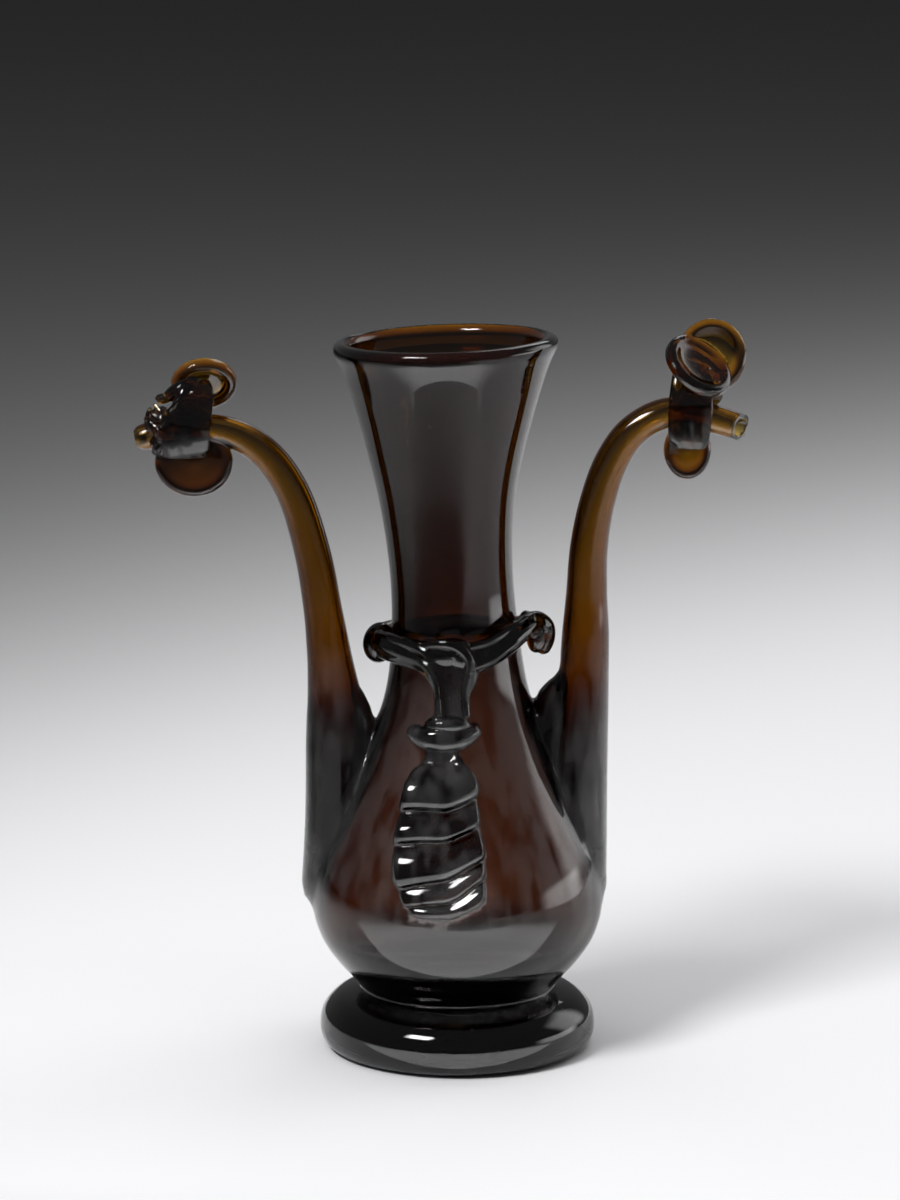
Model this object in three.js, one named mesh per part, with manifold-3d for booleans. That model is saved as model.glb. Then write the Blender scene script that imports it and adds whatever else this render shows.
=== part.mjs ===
// A dark amber glass ewer: a pear-shaped blown vessel on a thick pad foot, with two hollow spouts that
// rise from its flanks. Millimetres, +Z up. The origin is the centre of the foot's underside, and the
// front, which carries the pendant, looks along -Y.

import * as THREE from 'three';
import { mergeVertices } from 'three/addons/utils/BufferGeometryUtils.js';
import Module from 'manifold-3d';

const wasm = await Module();
wasm.setup();

// Driving dimensions of the vessel
const LIP_HEIGHT = 172.8;
const LIP_RADIUS = 25.0;
const LIP_ROUND = 2.2;
const WAIST_HEIGHT = 116.6;
const WAIST_RADIUS = 14.9;
const BELLY_HEIGHT = 37.6;
const BELLY_RADIUS = 35.8;
const BASE_HEIGHT = 17.6;
const BASE_RADIUS = 25.4;
const FOOT_RADIUS = 33.7;
const FOOT_EDGE_HEIGHT = 6.2;
const FOOT_TOP = 15.2;
const COLLAR_RADIUS = 23.8;
const WALL = 2.6;
const NECK_WALL = 3.0;
const NECK_WALL_START = 80;
const NECK_WALL_END = 110;
const FLOOR_THICKNESS = 4.5;
const FLOOR_ROUND = 1.5;
const FLOOR_FLAT_RADIUS = 17.4;

// How far a joined part is sunk into its neighbour, and how far a cut runs out past the glass
const SUNK = 2;
const RUN_OUT = 6;

// How far the hot neck leaned to the left, and how much its mouth tips up on the right
const LEAN = 2.9;
const LEAN_START = 85;
const LEAN_END = 150;
const MOUTH_TILT = 0.035;
const MOUTH_TILT_START = 150;

// The ground underside: a standing ring, a shallow hollow and the ground-off disc in its middle
const STANDING_RADIUS = 28.6;
const HOLLOW_OUTER = 21;
const HOLLOW_INNER = 8;
const HOLLOW_DEPTH = 0.8;

// The spouts: how much of the tube's thickness is bore, and where the bore meets the body
const BORE_SHARE = 0.7;
const WIDEST_BORE = 4.3;
const BORE_END_HEIGHT = 52;
const BORE_END_HALF = 4.8;

// Fineness of the facets
const VESSEL_SIDES = 34;
const CAVITY_SIDES = 20;
const SPOUT_SIDES = 12;
const SPOUT_RINGS = 25;
const WEB_SIDES = 8;
const WEB_RINGS = 5;
const BORE_SIDES = 6;
const BORE_RINGS = 18;
const THREAD_SIDES = 8;
const THREAD_RINGS = 22;
const KNOB_SIDES = 8;
const DISC_SIDES = 12;
const LOBE_SIDES = 10;
const STEM_SIDES = 8;
const STEM_RINGS = 6;

const darkGlass = new THREE.MeshStandardMaterial({
  color: 0x2a1712,
  roughness: 0.06,
  metalness: 0,
});

// Joins and cuts

// A solid from a closed geometry, with its seams merged and its empty faces at the poles left out.
function solid(geometry) {
  geometry.deleteAttribute('normal');
  geometry.deleteAttribute('uv');
  const merged = mergeVertices(geometry, 1e-4);
  const corners = merged.index.array;
  const faces = [];
  for (let i = 0; i < corners.length; i += 3) {
    const [a, b, c] = corners.slice(i, i + 3);
    if (a !== b && b !== c && c !== a) faces.push(a, b, c);
  }
  return new wasm.Manifold(new wasm.Mesh({
    numProp: 3,
    vertProperties: merged.attributes.position.array,
    triVerts: new Uint32Array(faces),
  }));
}

function geometryOf(manifold) {
  const mesh = manifold.getMesh();
  const geometry = new THREE.BufferGeometry();
  geometry.setAttribute('position', new THREE.BufferAttribute(mesh.vertProperties, 3));
  geometry.setIndex(new THREE.BufferAttribute(mesh.triVerts, 1));
  geometry.computeVertexNormals();
  return geometry;
}

function join(solids) {
  return solids.reduce((whole, next) => whole.add(next));
}

function reshape(geometry, move) {
  const position = geometry.attributes.position;
  const point = new THREE.Vector3();
  for (let i = 0; i < position.count; i++) {
    point.fromBufferAttribute(position, i);
    move(point);
    position.setXYZ(i, point.x, point.y, point.z);
  }
  return geometry;
}

// Turned forms

function smoothRise(value, start, end) {
  return THREE.MathUtils.smoothstep(value, start, end);
}

// The lean of the neck and the tip of the mouth, the same for the outside and the hollow.
function lean(point) {
  point.z += point.x * MOUTH_TILT * smoothRise(point.z, MOUTH_TILT_START, LIP_HEIGHT);
  point.x -= LEAN * smoothRise(point.z, LEAN_START, LEAN_END);
}

function turned(profile, sides) {
  const points = profile.map(([radius, height]) => new THREE.Vector2(radius, height));
  return new THREE.LatheGeometry(points, sides).rotateX(Math.PI / 2);
}

// A flowing outline through a few stations of [radius, height].
function flowing(stations, count) {
  const curve = new THREE.SplineCurve(stations.map(([r, z]) => new THREE.Vector2(r, z)));
  return curve.getPoints(count).map((point) => [point.x, point.y]);
}

function arc(centreRadius, centreHeight, round, fromDegrees, toDegrees, count) {
  const points = [];
  for (let i = 0; i <= count; i++) {
    const angle = THREE.MathUtils.degToRad(fromDegrees + ((toDegrees - fromDegrees) * i) / count);
    points.push([centreRadius + round * Math.cos(angle), centreHeight + round * Math.sin(angle)]);
  }
  return points;
}

const bodyStations = [
  [BASE_RADIUS, BASE_HEIGHT],
  [29.8, 22.4],
  [33.7, 28.6],
  [BELLY_RADIUS, BELLY_HEIGHT],
  [34.4, 46.6],
  [31.0, 55.1],
  [25.8, 66.1],
  [20.8, 78.1],
  [17.5, 88.6],
  [15.8, 99.6],
  [WAIST_RADIUS, WAIST_HEIGHT],
  [16.2, 134.1],
  [18.8, 147.1],
  [22.2, 159.6],
  [LIP_RADIUS, LIP_HEIGHT - 4.5],
];

function vesselOutside() {
  const profile = [
    [0, FOOT_TOP - SUNK],
    [COLLAR_RADIUS - 1, FOOT_TOP - SUNK],
    [COLLAR_RADIUS, FOOT_TOP + 0.4],
    ...flowing(bodyStations, 21),
    ...arc(LIP_RADIUS, LIP_HEIGHT, LIP_ROUND, -60, 110, 5),
    [0, LIP_HEIGHT + LIP_ROUND - 0.2],
  ];
  return solid(reshape(turned(profile, VESSEL_SIDES), lean));
}

// The glass is a little thicker in the neck than in the body.
function wallAt(height) {
  return THREE.MathUtils.lerp(WALL, NECK_WALL, smoothRise(height, NECK_WALL_START, NECK_WALL_END));
}

// The hollow follows the outside at the wall's thickness, and runs out through the mouth.
function vesselHollow() {
  const floorHeight = BASE_HEIGHT + FLOOR_THICKNESS;
  const inside = bodyStations.slice(1).map(([radius, height]) => [radius - wallAt(height), height]);
  inside[0] = [BASE_RADIUS - FLOOR_ROUND, floorHeight + FLOOR_ROUND];
  const profile = [
    [0, floorHeight],
    [FLOOR_FLAT_RADIUS, floorHeight],
    ...flowing(inside, 13),
    ...arc(LIP_RADIUS + 0.4, LIP_HEIGHT, LIP_ROUND, 180, 120, 2),
    [LIP_RADIUS + 0.6, LIP_HEIGHT + RUN_OUT],
    [0, LIP_HEIGHT + RUN_OUT],
  ];
  return solid(reshape(turned(profile, CAVITY_SIDES), lean));
}

function footPad() {
  const edge = flowing([
    [STANDING_RADIUS, 0],
    [32.1, 1.1],
    [33.4, 3.3],
    [FOOT_RADIUS, FOOT_EDGE_HEIGHT],
    [32.8, 9.6],
    [29.6, 12.9],
    [COLLAR_RADIUS, FOOT_TOP],
  ], 8);
  const profile = [
    [0, 0],
    [HOLLOW_INNER, 0],
    [HOLLOW_INNER + 2, HOLLOW_DEPTH],
    [HOLLOW_OUTER - 2, HOLLOW_DEPTH],
    [HOLLOW_OUTER, 0],
    ...edge,
    [0, FOOT_TOP],
  ];
  return solid(turned(profile, VESSEL_SIDES));
}

// Bars that follow a curve

// Moves a unit section on to the curve: share is the place along it, and across and depth are the
// section's own two directions, of which depth leans along the given axis.
function follow(curve, axis, share, across, depth) {
  const centre = curve.getPoint(share);
  const tangent = curve.getTangent(share);
  const side = new THREE.Vector3().crossVectors(tangent, axis).normalize();
  const facing = new THREE.Vector3().crossVectors(side, tangent).normalize();
  return centre.addScaledVector(side, across).addScaledVector(facing, depth);
}

// An open bar with flat ends. A station is { at: [x, y, z], across, depth }, the half sizes there.
function bar(stations, axis, sides, rings) {
  const path = new THREE.CatmullRomCurve3(stations.map(({ at }) => new THREE.Vector3(...at)));
  const halves = new THREE.CatmullRomCurve3(
    stations.map(({ across, depth }) => new THREE.Vector3(across, depth, 0)));
  const geometry = new THREE.CylinderGeometry(1, 1, 1, sides, rings);
  return solid(reshape(geometry, (point) => {
    const share = point.y + 0.5;
    const half = halves.getPoint(share);
    point.copy(follow(path, axis, share, point.x * half.x, point.z * half.y));
  }));
}

// A closed ring of round section. A place is [x, y, z, half thickness there].
function loop(places, axis, sides, rings) {
  const path = new THREE.CatmullRomCurve3(places.map(([x, y, z]) => new THREE.Vector3(x, y, z)), true);
  const rounds = new THREE.CatmullRomCurve3(places.map((at) => new THREE.Vector3(at[3], 0, 0)), true);
  const geometry = new THREE.TorusGeometry(2, 1, sides, rings);
  return solid(reshape(geometry, (point) => {
    const reach = Math.hypot(point.x, point.y);
    const share = (Math.atan2(point.y, point.x) / (2 * Math.PI) + 1) % 1;
    const round = rounds.getPoint(share).x;
    point.copy(follow(path, axis, share, (reach - 2) * round, point.z * round));
  }));
}

// Ball and disc forms

const forward = new THREE.Vector3(0, -1, 0);

// A ball drawn out to its half sizes along X, Y and Z, then turned about them, in degrees.
function knob(at, half, turn = [0, 0, 0], sides = KNOB_SIDES) {
  const [x, y, z] = turn.map(THREE.MathUtils.degToRad);
  const geometry = new THREE.SphereGeometry(1, sides, Math.round(sides * 0.6)).scale(...half);
  geometry.applyQuaternion(new THREE.Quaternion().setFromEuler(new THREE.Euler(x, y, z)));
  return solid(geometry.translate(...at));
}

// A pinched disc with a thick rim and a thinner middle, whose face looks along the given direction.
function disc(at, [halfWidth, halfThickness, halfHeight], facing) {
  const profile = [
    [0, 0.55],
    [0.55, 0.68],
    [0.82, 1],
    [0.96, 0.7],
    [1, 0],
  ];
  const back = profile.slice(0, -1).reverse().map(([radius, rise]) => [radius, -rise]);
  const points = [...profile, ...back].reverse().map(([r, rise]) => new THREE.Vector2(r, rise));
  const geometry = new THREE.LatheGeometry(points, DISC_SIDES).scale(halfWidth, halfThickness, halfHeight);
  const turn = new THREE.Quaternion().setFromUnitVectors(forward, new THREE.Vector3(...facing).normalize());
  return solid(geometry.applyQuaternion(turn).translate(...at));
}

// The spouts

const depthwise = new THREE.Vector3(0, 1, 0);
const upright = new THREE.Vector3(0, 0, 1);

// [x, height, half across, half depth] from the rounded root on the flank up to the tip
const leftSpoutLine = [
  [-30.6, 31.6, 2.0, 3.0],
  [-30.1, 33.4, 5.4, 6.5],
  [-29.6, 36.6, 7.9, 9.4],
  [-29.2, 41.6, 8.9, 11.2],
  [-28.8, 49.6, 8.8, 11.4],
  [-28.4, 62.6, 8.7, 10.2],
  [-28.5, 74.6, 8.5, 9.0],
  [-29.2, 82.6, 7.6, 7.8],
  [-30.1, 89.0, 6.4, 6.6],
  [-31.0, 96.6, 5.5, 5.6],
  [-32.6, 108.6, 4.7, 4.8],
  [-35.1, 122.9, 4.4, 4.5],
  [-39.6, 137.3, 4.1, 4.1],
  [-45.2, 145.9, 3.9, 3.9],
  [-52.4, 151.2, 3.7, 3.7],
  [-60.5, 153.2, 3.4, 3.4],
  [-68.5, 152.4, 3.3, 3.3],
  [-77.4, 150.6, 2.7, 2.7],
];
const rightSpoutLine = [
  [30.2, 31.6, 2.0, 3.0],
  [29.8, 33.4, 5.0, 6.5],
  [29.2, 36.6, 7.2, 9.4],
  [28.5, 41.6, 8.1, 11.2],
  [28.5, 49.6, 8.1, 11.4],
  [28.6, 62.6, 8.0, 10.2],
  [29.0, 74.6, 7.7, 9.0],
  [29.9, 84.0, 6.9, 7.6],
  [30.7, 93.4, 6.1, 6.4],
  [31.1, 103.4, 5.7, 5.7],
  [31.3, 112.6, 5.0, 5.0],
  [31.8, 124.0, 4.6, 4.6],
  [33.8, 135.3, 4.3, 4.3],
  [37.2, 145.2, 4.1, 4.1],
  [42.2, 152.4, 3.9, 3.9],
  [49.8, 156.7, 3.7, 3.7],
  [57.2, 156.5, 3.6, 3.6],
  [63.4, 154.8, 3.4, 3.4],
  [69.8, 152.8, 3.2, 3.2],
];

// The same for the web of glass that joins each root to the shoulder, from its top down
const leftWebLine = [
  [-29.0, 92.0, 3.0, 3.0],
  [-26.4, 86.0, 4.2, 4.6],
  [-24.2, 79.6, 4.6, 5.6],
  [-22.8, 72.0, 4.6, 6.0],
  [-22.4, 64.0, 4.0, 5.0],
];
const rightWebLine = [
  [29.6, 96.0, 2.6, 3.0],
  [27.0, 90.4, 4.0, 4.4],
  [24.0, 85.4, 5.2, 5.4],
  [22.0, 79.6, 5.6, 6.4],
  [21.6, 72.0, 5.2, 6.4],
  [22.0, 64.0, 4.4, 5.4],
];

// A bar in the plane of the two spouts
function flankBar(line, sides, rings) {
  const stations = line.map(([x, height, across, depth]) => ({ at: [x, 0, height], across, depth }));
  return bar(stations, depthwise, sides, rings);
}

function spoutOutside(line, webLine) {
  return flankBar(line, SPOUT_SIDES, SPOUT_RINGS).add(flankBar(webLine, WEB_SIDES, WEB_RINGS));
}

// The bore runs from below its end in the body to past the tip.
function spoutBore(line, [pastX, pastHeight]) {
  const slim = line.filter(([, height]) => height > BORE_END_HEIGHT).map(([x, height, across]) => {
    const bore = Math.min(across * BORE_SHARE, WIDEST_BORE);
    return [x, height, bore, bore];
  });
  const root = [slim[0][0], BORE_END_HEIGHT - SUNK, BORE_END_HALF, BORE_END_HALF];
  const [tipX, tipHeight, tipBore] = slim[slim.length - 1];
  const end = [tipX + pastX, tipHeight + pastHeight, tipBore, tipBore];
  return flankBar([root, ...slim, end], BORE_SIDES, BORE_RINGS);
}

// The thread round the neck, with its two ears

const threadPath = [
  [-20.0, -1.0, 101.8, 2.8],
  [-15.4, -10.6, 101.8, 2.7],
  [-9.4, -15.9, 102.0, 3.3],
  [-1.6, -17.9, 101.6, 3.0],
  [5.2, -17.2, 101.1, 3.4],
  [11.4, -13.0, 103.2, 3.1],
  [16.6, -7.0, 105.2, 2.7],
  [18.9, 0.6, 104.5, 2.6],
  [14.6, 9.4, 102.8, 2.5],
  [7.4, 15.4, 102.2, 2.6],
  [-1.4, 17.2, 101.8, 2.7],
  [-10.4, 14.2, 101.6, 2.7],
  [-16.8, 7.8, 101.6, 2.7],
];

function neckThread() {
  return join([
    loop(threadPath, upright, THREAD_SIDES, THREAD_RINGS),
    knob([-19.3, -1.6, 100.9], [3.6, 3.8, 5.0], [0, 12, 0]),
    knob([-2.2, -18.6, 101.6], [5.8, 3.1, 3.6], [0, -14, 0]),
    knob([19.8, -1.6, 104.6], [3.1, 3.2, 3.2]),
    knob([21.0, -1.8, 102.4], [2.2, 2.8, 4.7], [0, -8, 0]),
    knob([14.0, 9.4, 104.2], [2.6, 2.4, 2.4]),
  ]);
}

// The pendant on the front

const stemStations = [
  { at: [-2.0, -18.2, 102.4], across: 5.6, depth: 2.5 },
  { at: [-1.8, -19.2, 98.4], across: 5.0, depth: 2.8 },
  { at: [-1.2, -19.6, 93.6], across: 3.9, depth: 2.8 },
  { at: [-1.3, -20.2, 89.6], across: 3.8, depth: 2.8 },
  { at: [-2.0, -21.0, 86.0], across: 4.8, depth: 3.0 },
  { at: [-2.8, -21.4, 83.6], across: 6.0, depth: 3.1 },
];

// [x, depth, height, half width] of each shingled lobe of the crimped pad, from the top
const padLobes = [
  [-4.0, -25.0, 69.8, 9.2],
  [-4.6, -27.9, 62.6, 10.3],
  [-4.3, -31.4, 54.8, 11.6],
  [-3.0, -35.0, 45.8, 10.7],
];
const LOBE_HALF_HEIGHT = 6.2;
const LOBE_HALF_DEPTH = 3.1;
const LOBE_SHINGLE = -32;
const LOBE_SLANT = -9;

function pendant() {
  const lobes = padLobes.map(([x, y, height, halfWidth]) => knob(
    [x, y, height],
    [halfWidth, LOBE_HALF_DEPTH, LOBE_HALF_HEIGHT],
    [LOBE_SHINGLE, LOBE_SLANT, 0],
    LOBE_SIDES,
  ));
  return join([
    bar(stemStations, depthwise, STEM_SIDES, STEM_RINGS),
    knob([-3.6, -21.5, 81.3], [8.1, 5.2, 3.2], [-14, -4, 0], LOBE_SIDES),
    knob([-3.6, -22.7, 76.8], [4.6, 2.8, 3.8]),
    knob([-4.0, -28.4, 58.6], [9.4, 2.8, 17.5], [-22, 0, 0], LOBE_SIDES),
    ...lobes,
  ]);
}

// The ribbons near the tips, pinched into ears. The left one is broken and the right one whole.

function leftEars() {
  return join([
    knob([-65.9, -0.6, 154.0], [6.0, 5.0, 9.8], [0, 14, 0], LOBE_SIDES),
    disc([-61.0, 2.2, 163.5], [8.0, 2.3, 6.8], [0.1, -0.9, -0.4]),
    disc([-63.4, -0.8, 144.7], [9.5, 2.7, 8.3], [0, -1, 0.1]),
    knob([-66.0, -1.8, 162.8], [5.4, 2.5, 2.6], [0, -28, 0]),
    knob([-70.6, -2.0, 160.6], [1.9, 1.6, 1.4]),
    knob([-71.8, -1.0, 154.2], [4.0, 3.6, 4.4], [0, 30, 0]),
  ]);
}

function rightEars() {
  return join([
    knob([55.7, -0.6, 156.2], [5.8, 5.0, 9.8], [0, 0, 0], LOBE_SIDES),
    disc([57.6, -2.6, 168.6], [9.4, 2.3, 9.4], [0.42, -0.53, 0.72]),
    disc([61.2, 3.8, 170.2], [8.5, 1.8, 8.9], [0.2, -0.95, 0.15]),
    disc([55.3, -0.8, 147.8], [5.7, 2.4, 7.0], [0, -1, 0]),
  ]);
}

// The whole ewer

function ewer() {
  const body = join([
    vesselOutside(),
    footPad(),
    spoutOutside(leftSpoutLine, leftWebLine),
    spoutOutside(rightSpoutLine, rightWebLine),
    neckThread(),
    pendant(),
    leftEars(),
    rightEars(),
  ]);
  const hollows = join([
    vesselHollow(),
    spoutBore(leftSpoutLine, [-4, -1]),
    spoutBore(rightSpoutLine, [4, -1.2]),
  ]);
  return body.subtract(hollows);
}

const vessel = new THREE.Mesh(geometryOf(ewer()), darkGlass);
vessel.name = 'ewer';

const model = new THREE.Group();
model.add(vessel);

export default model;
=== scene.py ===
"""The look of a dark amber glass ewer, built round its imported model.

The glass is shaped in millimetres in the ewer's own frame: +Z up, the pendant towards -Y, the origin
at the centre of the foot's underside. The mesh is brought to metres once, at the end. The finish, the
crackled tip and the studio are given in metres.
"""

import logging
import math
import random
from collections.abc import Callable, Sequence
from dataclasses import dataclass
from enum import Enum

import bmesh
import bpy
from bpy.types import ID, Light, Material, Mesh, Node, NodeSocket as Socket, NodeTree, Object
from mathutils import Euler, Matrix, Vector
from mathutils.kdtree import KDTree


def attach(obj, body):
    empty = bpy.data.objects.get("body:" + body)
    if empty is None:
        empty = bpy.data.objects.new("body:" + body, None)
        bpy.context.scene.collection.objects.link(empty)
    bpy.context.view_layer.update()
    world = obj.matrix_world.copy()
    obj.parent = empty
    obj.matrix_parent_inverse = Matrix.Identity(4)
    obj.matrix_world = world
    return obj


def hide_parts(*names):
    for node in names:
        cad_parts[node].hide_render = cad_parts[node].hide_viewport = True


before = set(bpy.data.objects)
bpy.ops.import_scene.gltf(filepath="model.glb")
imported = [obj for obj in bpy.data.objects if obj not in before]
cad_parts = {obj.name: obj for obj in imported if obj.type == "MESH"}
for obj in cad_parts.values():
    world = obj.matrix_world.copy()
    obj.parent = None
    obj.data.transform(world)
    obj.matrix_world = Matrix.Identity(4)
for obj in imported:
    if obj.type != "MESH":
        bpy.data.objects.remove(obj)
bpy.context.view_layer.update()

LOG = logging.getLogger("ewer")
METRES_PER_MM = 0.001
NODE = "ewer"
BODY = "root"

Place = tuple[float, float, float]
Station = Sequence[float]
Line = Sequence[Station]
Shell = bmesh.types.BMesh
# Moves a point across and in depth, given its share of the length and its place on the unit circle
Section = Callable[[float, float, float], tuple[float, float]]

DEPTHWISE = Vector((0.0, 1.0, 0.0))
UPRIGHT = Vector((0.0, 0.0, 1.0))
FORWARD = Vector((0.0, -1.0, 0.0))


class Fuse(Enum):
    """How two pieces of hot glass are brought together."""

    JOIN = "UNION"
    CUT = "DIFFERENCE"


class Grain(Enum):
    """How finely a ball of glass is divided."""

    SMALL = 3
    LARGE = 4


# Curves and shared shaping


def smooth_rise(value: float, start: float, end: float) -> float:
    """Returns a smooth rise from 0 where value is start to 1 where it is end."""
    share = min(max((value - start) / (end - start), 0.0), 1.0)
    return share * share * (3.0 - 2.0 * share)


class Flow:
    """A centripetal curve through stations of any width."""

    def __init__(self, stations: Line, closed: bool = False) -> None:
        """Keeps the stations. On a closed curve the last one leads back to the first."""
        self.stations = [Vector(station) for station in stations]
        self.closed = closed

    def _station(self, index: int) -> Vector:
        """Finds a station, with one more drawn out past each open end.

        Args:
            index: The station's number, which may lie past either end.

        Returns:
            The station.
        """
        count = len(self.stations)
        if self.closed:
            return self.stations[index % count]
        if index < 0:
            return 2.0 * self.stations[0] - self.stations[1]
        if index >= count:
            return 2.0 * self.stations[-1] - self.stations[-2]
        return self.stations[index]

    def at(self, share: float) -> Vector:
        """Finds a point on the curve.

        Args:
            share: The place from 0 to 1, with equal steps between stations.

        Returns:
            The point there.
        """
        spans = len(self.stations) - (0 if self.closed else 1)
        place = min(max(share, 0.0), 1.0) * spans
        index = min(int(place), spans - 1)
        weight = place - index
        first, start, end, last = (self._station(index + step) for step in (-1, 0, 1, 2))
        before = max((start - first).length ** 0.5, 1e-4)
        during = max((end - start).length ** 0.5, 1e-4)
        after = max((last - end).length ** 0.5, 1e-4)
        leave = (start - first) / before - (end - first) / (before + during) + (end - start) / during
        reach = (end - start) / during - (last - start) / (during + after) + (last - end) / after
        leave, reach = leave * during, reach * during
        square = 3.0 * (end - start) - 2.0 * leave - reach
        cube = 2.0 * (start - end) + leave + reach
        return start + weight * (leave + weight * (square + weight * cube))

    def direction(self, share: float) -> Vector:
        """Finds the direction of the curve.

        Args:
            share: The place along the curve, from 0 to 1.

        Returns:
            The unit direction there.
        """
        small = 1e-4
        low, high = max(share - small, 0.0), min(share + small, 1.0)
        return (self.at(high) - self.at(low)).normalized()

    def points(self, count: int) -> list[tuple[float, ...]]:
        """Returns count + 1 points along the curve, as plain tuples."""
        return [tuple(self.at(step / count)) for step in range(count + 1)]


def arc(centre: Station, reach: float, start: float, end: float, count: int) -> list[Station]:
    """Draws part of a turned profile: a circle of radius reach from angle start to end, in degrees."""
    angles = [math.radians(start + (end - start) * step / count) for step in range(count + 1)]
    return [
        (centre[0] + reach * math.cos(angle), centre[1] + reach * math.sin(angle)) for angle in angles
    ]


def spin_round(shell: Shell, steps: int) -> None:
    """Turns what a shell holds once round the upright axis.

    Args:
        shell: The shell, with the points and edges to turn.
        steps: How many steps the turn has.
    """
    held = shell.verts[:] + shell.edges[:]
    turn = 2.0 * math.pi
    bmesh.ops.spin(shell, geom=held, cent=(0, 0, 0), axis=UPRIGHT, angle=turn, steps=steps, use_merge=True)


def lathe(profile: Line, sides: int) -> Shell:
    """Turns a profile once round the upright axis.

    Args:
        profile: The points of the profile as radius and height, from axis to axis.
        sides: How many steps one turn has.

    Returns:
        A closed shell whose faces point outwards.
    """
    shell = bmesh.new()
    verts = [shell.verts.new((radius, 0.0, height)) for radius, height in profile]
    for start, end in zip(verts, verts[1:]):
        shell.edges.new((start, end))
    spin_round(shell, sides)
    bmesh.ops.remove_doubles(shell, verts=shell.verts[:], dist=1e-4)
    return outward(shell)


def outward(shell: Shell) -> Shell:
    """Turns every face of a closed shell outwards.

    Args:
        shell: The shell, with its doubles merged.

    Returns:
        The same shell.
    """
    shell.normal_update()
    bmesh.ops.recalc_face_normals(shell, faces=shell.faces[:])
    if shell.calc_volume(signed=True) < 0.0:
        bmesh.ops.reverse_faces(shell, faces=shell.faces[:])
    return shell


def reshape(shell: Shell, move: Callable[[Vector], Vector]) -> Shell:
    """Moves every vertex of a shell.

    Args:
        shell: The shell to change.
        move: Gives the new place of a point.

    Returns:
        The same shell.
    """
    for vert in shell.verts:
        vert.co = move(vert.co)
    return outward(shell)


def follow(path: Flow, axis: Vector, share: float, across: float, depth: float) -> Vector:
    """Places one point of a section on a curve.

    Args:
        path: The curve.
        axis: The direction that the depth leans along.
        share: The place along the curve.
        across: How far the point is to the side.
        depth: How far it is along the depth.

    Returns:
        The point in space.
    """
    tangent = path.direction(share)
    side = tangent.cross(axis).normalized()
    facing = side.cross(tangent).normalized()
    return path.at(share) + side * across + facing * depth


def round_section(share: float, across: float, depth: float) -> tuple[float, float]:
    """Leaves a round section as it is."""
    return across, depth


def strand(
    stations: Line, sides: int, rings: int,
    section: Section = round_section, axis: Vector = DEPTHWISE,
) -> Shell:
    """Draws an open trail of glass.

    Args:
        stations: Rows of x, y, z, half across and half depth.
        sides: How many sides the section has.
        rings: How many rings the trail has.
        section: Reshapes a point of the unit section.
        axis: The direction that the depth leans along.

    Returns:
        A closed shell with flat ends.
    """
    path = Flow([station[:3] for station in stations])
    halves = Flow([station[3:] for station in stations])
    shell = bmesh.new()
    bmesh.ops.create_cone(
        shell, cap_ends=True, cap_tris=False, segments=sides, radius1=1.0, radius2=1.0, depth=1.0
    )
    lengthwise = [edge for edge in shell.edges if abs(edge.verts[0].co.z - edge.verts[1].co.z) > 0.5]
    bmesh.ops.subdivide_edges(shell, edges=lengthwise, cuts=rings - 1, use_grid_fill=True)

    def bend(point: Vector) -> Vector:
        """Carries a point of the straight trail onto the curve."""
        share = point.z + 0.5
        half = halves.at(share)
        across, depth = section(share, point.x, point.y)
        return follow(path, axis, share, across * half.x, depth * half.y)

    return reshape(shell, bend)


def cut_off(shell: Shell, at: Place, normal: Place) -> None:
    """Cuts away what lies past a plane and closes the cut.

    Args:
        shell: The shell to cut.
        at: A place on the plane.
        normal: The direction of what is cut away.
    """
    everything = [*shell.verts, *shell.edges, *shell.faces]
    bmesh.ops.bisect_plane(shell, geom=everything, plane_co=at, plane_no=normal, clear_outer=True)
    rim = [edge for edge in shell.edges if edge.is_boundary]
    bmesh.ops.holes_fill(shell, edges=rim, sides=0)


def crackled(shell: Shell, cells: int, depth: float, seed: int) -> Shell:
    """Breaks a surface into small flat plates that stand at different depths.

    Args:
        shell: The shell to break up.
        cells: How many plates there are.
        depth: How far they stand apart.
        seed: The seed of their places.

    Returns:
        The same shell.
    """
    chance = random.Random(seed)
    shell.normal_update()
    picks = chance.sample(list(range(len(shell.verts))), cells)
    shell.verts.ensure_lookup_table()
    tree = KDTree(cells)
    for number, pick in enumerate(picks):
        tree.insert(shell.verts[pick].co, number)
    tree.balance()
    tilts = [Vector([chance.uniform(-1.0, 1.0) for _ in range(3)]) for _ in range(cells)]
    moved = []
    for vert in shell.verts:
        centre, number, _ = tree.find(vert.co)
        rise = 0.5 * tilts[number].x + 0.45 * tilts[number].dot(vert.co - centre)
        moved.append(vert.co + vert.normal * depth * max(-1.0, min(rise, 1.0)))
    for vert, place in zip(shell.verts, moved):
        vert.co = place
    return shell


def loop(places: Line, axis: Vector, sides: int, rings: int) -> Shell:
    """Lays a closed ring of glass.

    Args:
        places: Rows of x, y, z and half thickness.
        axis: The direction that the depth leans along.
        sides: How many sides the section has.
        rings: How many rings the loop has.

    Returns:
        A closed shell.
    """
    path = Flow([place[:3] for place in places], closed=True)
    rounds = Flow([(place[3], 0.0) for place in places], closed=True)
    shell = bmesh.new()
    section_place = Matrix.Translation((2.0, 0.0, 0.0)) @ Matrix.Rotation(math.pi / 2.0, 4, "X")
    bmesh.ops.create_circle(shell, cap_ends=False, segments=sides, radius=1.0, matrix=section_place)
    spin_round(shell, rings)

    def bend(point: Vector) -> Vector:
        """Carries a point of the round ring onto the curve."""
        reach = math.hypot(point.x, point.y)
        share = (math.atan2(point.y, point.x) / (2.0 * math.pi)) % 1.0
        half = rounds.at(share).x
        return follow(path, axis, share, (reach - 2.0) * half, point.z * half)

    return reshape(shell, bend)


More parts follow.
